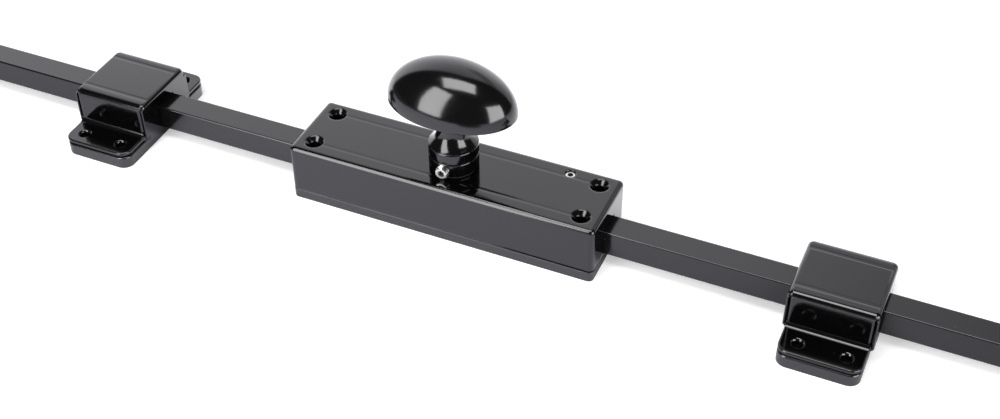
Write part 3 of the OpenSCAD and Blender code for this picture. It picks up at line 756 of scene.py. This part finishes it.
white, tree, shader = start_finish("table_white")
shader.inputs["Roughness"].default_value = 0.9
shader.inputs["Specular IOR Level"].default_value = 0.0
shader.inputs["Emission Color"].default_value = (1, 1, 1, 1)
ray = wire(tree, "LightPath")
place = object_place(tree)
spot = wire(tree, "SeparateXYZ", {"Vector": place})
# How bright the sheet looks in the polished faces: most so before the gearbox, less at both ends
across = remap(tree, spot.outputs["X"], -0.24, 0.56)
mirrored = ramp(tree, across, [
    (position, (share * 1.02, share * 0.99, share * 1.1, 1)) for position, share in (
        (0.0, 0.67), (0.21, 0.82), (0.33, 0.78), (0.45, 0.68), (0.6, 0.53), (0.8, 0.38))])
# Seen in the polished faces only, the sheet is painted dark at the left, as if it ended there, and
# in a spot where the photographer stands: painted reflections of the dark room and of the
# photographer
left_near = remap(tree, calc(tree, "MULTIPLY_ADD", spot.outputs["Y"], 0.5, spot.outputs["X"]),
                  -0.345, -0.315)
left_far = remap(tree, calc(tree, "MULTIPLY_ADD", spot.outputs["X"], 0.2, spot.outputs["Y"]),
                 -0.04, 0.0)
open_left = calc(tree, "MAXIMUM", left_near, left_far)
photographer_reflection_centre = (0.095, -0.240, 0.0)
painted_photographer_spot = wire(tree, "VectorMath", {0: place, 1: photographer_reflection_centre}, operation="DISTANCE")
painted_photographer_spot = remap(tree, painted_photographer_spot.outputs["Value"], 0.060, 0.080)
mirrored = blend(tree, calc(tree, "MULTIPLY", open_left, painted_photographer_spot), (0.08, 0.08, 0.085, 1), mirrored)
# A reflection of the sheet seen in another coat is painted nearly dark
painted_reflection_share = painted_second_reflection_share(tree, ray)
mirrored = blend(tree, painted_reflection_share, (0, 0, 0, 1), mirrored)
sheet = blend(tree, ray.outputs["Is Glossy Ray"], (0.85, 0.85, 0.85, 1), mirrored)
tree.links.new(sheet, shader.inputs["Base Color"])
# Behind the bolt the sheet glows in what the polished faces mirror, and only there, brighter at the
# left: a painted reflection of the bright backdrop
painted_rear_glow = remap(tree, spot.outputs["Y"], 0.0, 0.04, curve="SMOOTHSTEP")
rear_side = remap(tree, spot.outputs["X"], -0.10, 0.40, 1.15, 0.45)
for share in (rear_side, open_left, painted_reflection_share, ray.outputs["Is Glossy Ray"]):
    painted_rear_glow = calc(tree, "MULTIPLY", painted_rear_glow, share)
camera_glow = 0.35
glow = calc(tree, "MULTIPLY_ADD", ray.outputs["Is Camera Ray"], camera_glow, painted_rear_glow)
tree.links.new(glow, shader.inputs["Emission Strength"])
table.data.materials.append(white)
table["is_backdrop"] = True


# Studio. A white room behind the table, darker towards the right, three soft boxes at the front,
# above and at the right, and dark surroundings on the photographer's side.

def grey_ramp(tree, value, stops):
    """A grey that runs through stops of position and brightness."""
    return ramp(tree, value, [(position, (share, share, share, 1)) for position, share in stops])


room = bpy.data.worlds.new("studio")
bpy.context.scene.world = room
room.use_nodes = True
tree = room.node_tree
backdrop = tree.nodes["Background"]
way = wire(tree, "SeparateXYZ", {"Vector": wire(tree, "TexCoord").outputs["Generated"]})
behind = calc(tree, "MULTIPLY_ADD", way.outputs["X"], -0.375, way.outputs["Y"])
sideways = calc(tree, "ABSOLUTE", way.outputs["X"])
behind = calc(tree, "MULTIPLY_ADD", sideways, -0.275, behind)
behind = remap(tree, behind, 0.22, 0.36, curve="SMOOTHSTEP")
# Brightness of the white room from left to right, as a share of its brightest part
wall = grey_ramp(tree, remap(tree, way.outputs["X"], -0.6, 0.4), (
    (0.0, 0.86), (0.26, 0.83), (0.45, 0.79), (0.55, 0.57), (0.65, 0.42), (1.0, 0.34)))
# The dark part at the right is a narrow strip, at the height that the flat tops look at
strip_height = 0.656
strip = calc(tree, "ABSOLUTE", calc(tree, "SUBTRACT", way.outputs["Z"], strip_height))
strip = remap(tree, strip, 0.06, 0.14, curve="SMOOTHSTEP")
right = remap(tree, way.outputs["X"], 0.12, 0.50, 0.82, 0.42)
wall = blend(tree, strip, wall, right)
# It is brightest near the horizon, and ends at a dark ceiling
rise = grey_ramp(tree, way.outputs["Z"], (
    (0.10, 1.12), (0.26, 1.06), (0.39, 1.0), (0.54, 0.93), (0.66, 0.74), (0.74, 0.76),
    (0.84, 0.62), (0.96, 0.50)))
# What the coats mirror is brighter than what lights the bolt, and the camera sees plain white
wall_strength, dark_side, room_light, seen_white = 1.8, 0.045, 0.36, 1.0
wall = calc(tree, "MULTIPLY", calc(tree, "MULTIPLY", wall, rise), wall_strength)
mirrored = blend(tree, behind, dark_side, wall, "FLOAT")
ray = wire(tree, "LightPath")
# In a reflection seen in another coat the room is painted nearly dark
mirrored = calc(tree, "MULTIPLY", mirrored, painted_second_reflection_share(tree, ray))
lit = blend(tree, ray.outputs["Is Glossy Ray"], room_light, mirrored, "FLOAT")
shown = blend(tree, ray.outputs["Is Camera Ray"], lit, seen_white, "FLOAT")
tint = blend(tree, ray.outputs["Is Glossy Ray"], (1, 1, 1, 1), (1.0, 0.99, 1.05, 1))
tree.links.new(tint, backdrop.inputs["Color"])
tree.links.new(shown, backdrop.inputs["Strength"])

knob_point = Vector((0, 0, 0.075))


def soft_box(name, offset, up, width, height, radiance):
    """A rectangular studio lamp that faces the knob and isn't seen by the camera."""
    lamp = bpy.data.lights.new(name, "AREA")
    lamp.shape = "RECTANGLE"
    lamp.size, lamp.size_y = width, height
    lamp.energy = math.pi * width * height * radiance
    box = bpy.data.objects.new(name, lamp)
    bpy.context.scene.collection.objects.link(box)
    centre = knob_point + Vector(offset)
    back = (centre - knob_point).normalized()
    side = Vector(up).cross(back).normalized()
    box.matrix_world = Matrix.Translation(centre) @ Matrix(
        (side, back.cross(side), back)).transposed().to_4x4()
    box.visible_camera = False


soft_box("front_box", offset=(-0.359, -0.740, 0.300), up=(0.127, 0.192, 0.766),
         width=0.43, height=0.98, radiance=5.6)
soft_box("top_box", offset=(0.010, -0.203, 0.882), up=(-0.105, 0.397, 0.110),
         width=0.67, height=0.424, radiance=5.6)
soft_box("right_box", offset=(0.828, -0.284, 0.103), up=(-0.076, 0.130, 0.698),
         width=0.60, height=0.70, radiance=5.4)


# Camera. It looks down on the bolt from the front right, with a short telephoto lens.

azimuth, elevation, roll = (math.radians(a) for a in (23.94, 41.07, -0.39))
target, distance = Vector((0.02262, 0, 0.00917)), 0.68088
back = Vector((math.sin(azimuth) * math.cos(elevation), -math.cos(azimuth) * math.cos(elevation),
               math.sin(elevation)))
eye = bpy.data.objects.new("camera", bpy.data.cameras.new("camera"))
bpy.context.scene.collection.objects.link(eye)
eye.data.sensor_width, eye.data.lens = 36.0, 53.34
eye.location = target + back * distance
eye.rotation_mode = "QUATERNION"
eye.rotation_quaternion = (-back).to_track_quat("-Z", "Y") @ Quaternion((0, 0, 1), roll)
bpy.context.scene.camera = eye
bpy.context.scene.view_settings.view_transform = "Standard"

low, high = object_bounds()
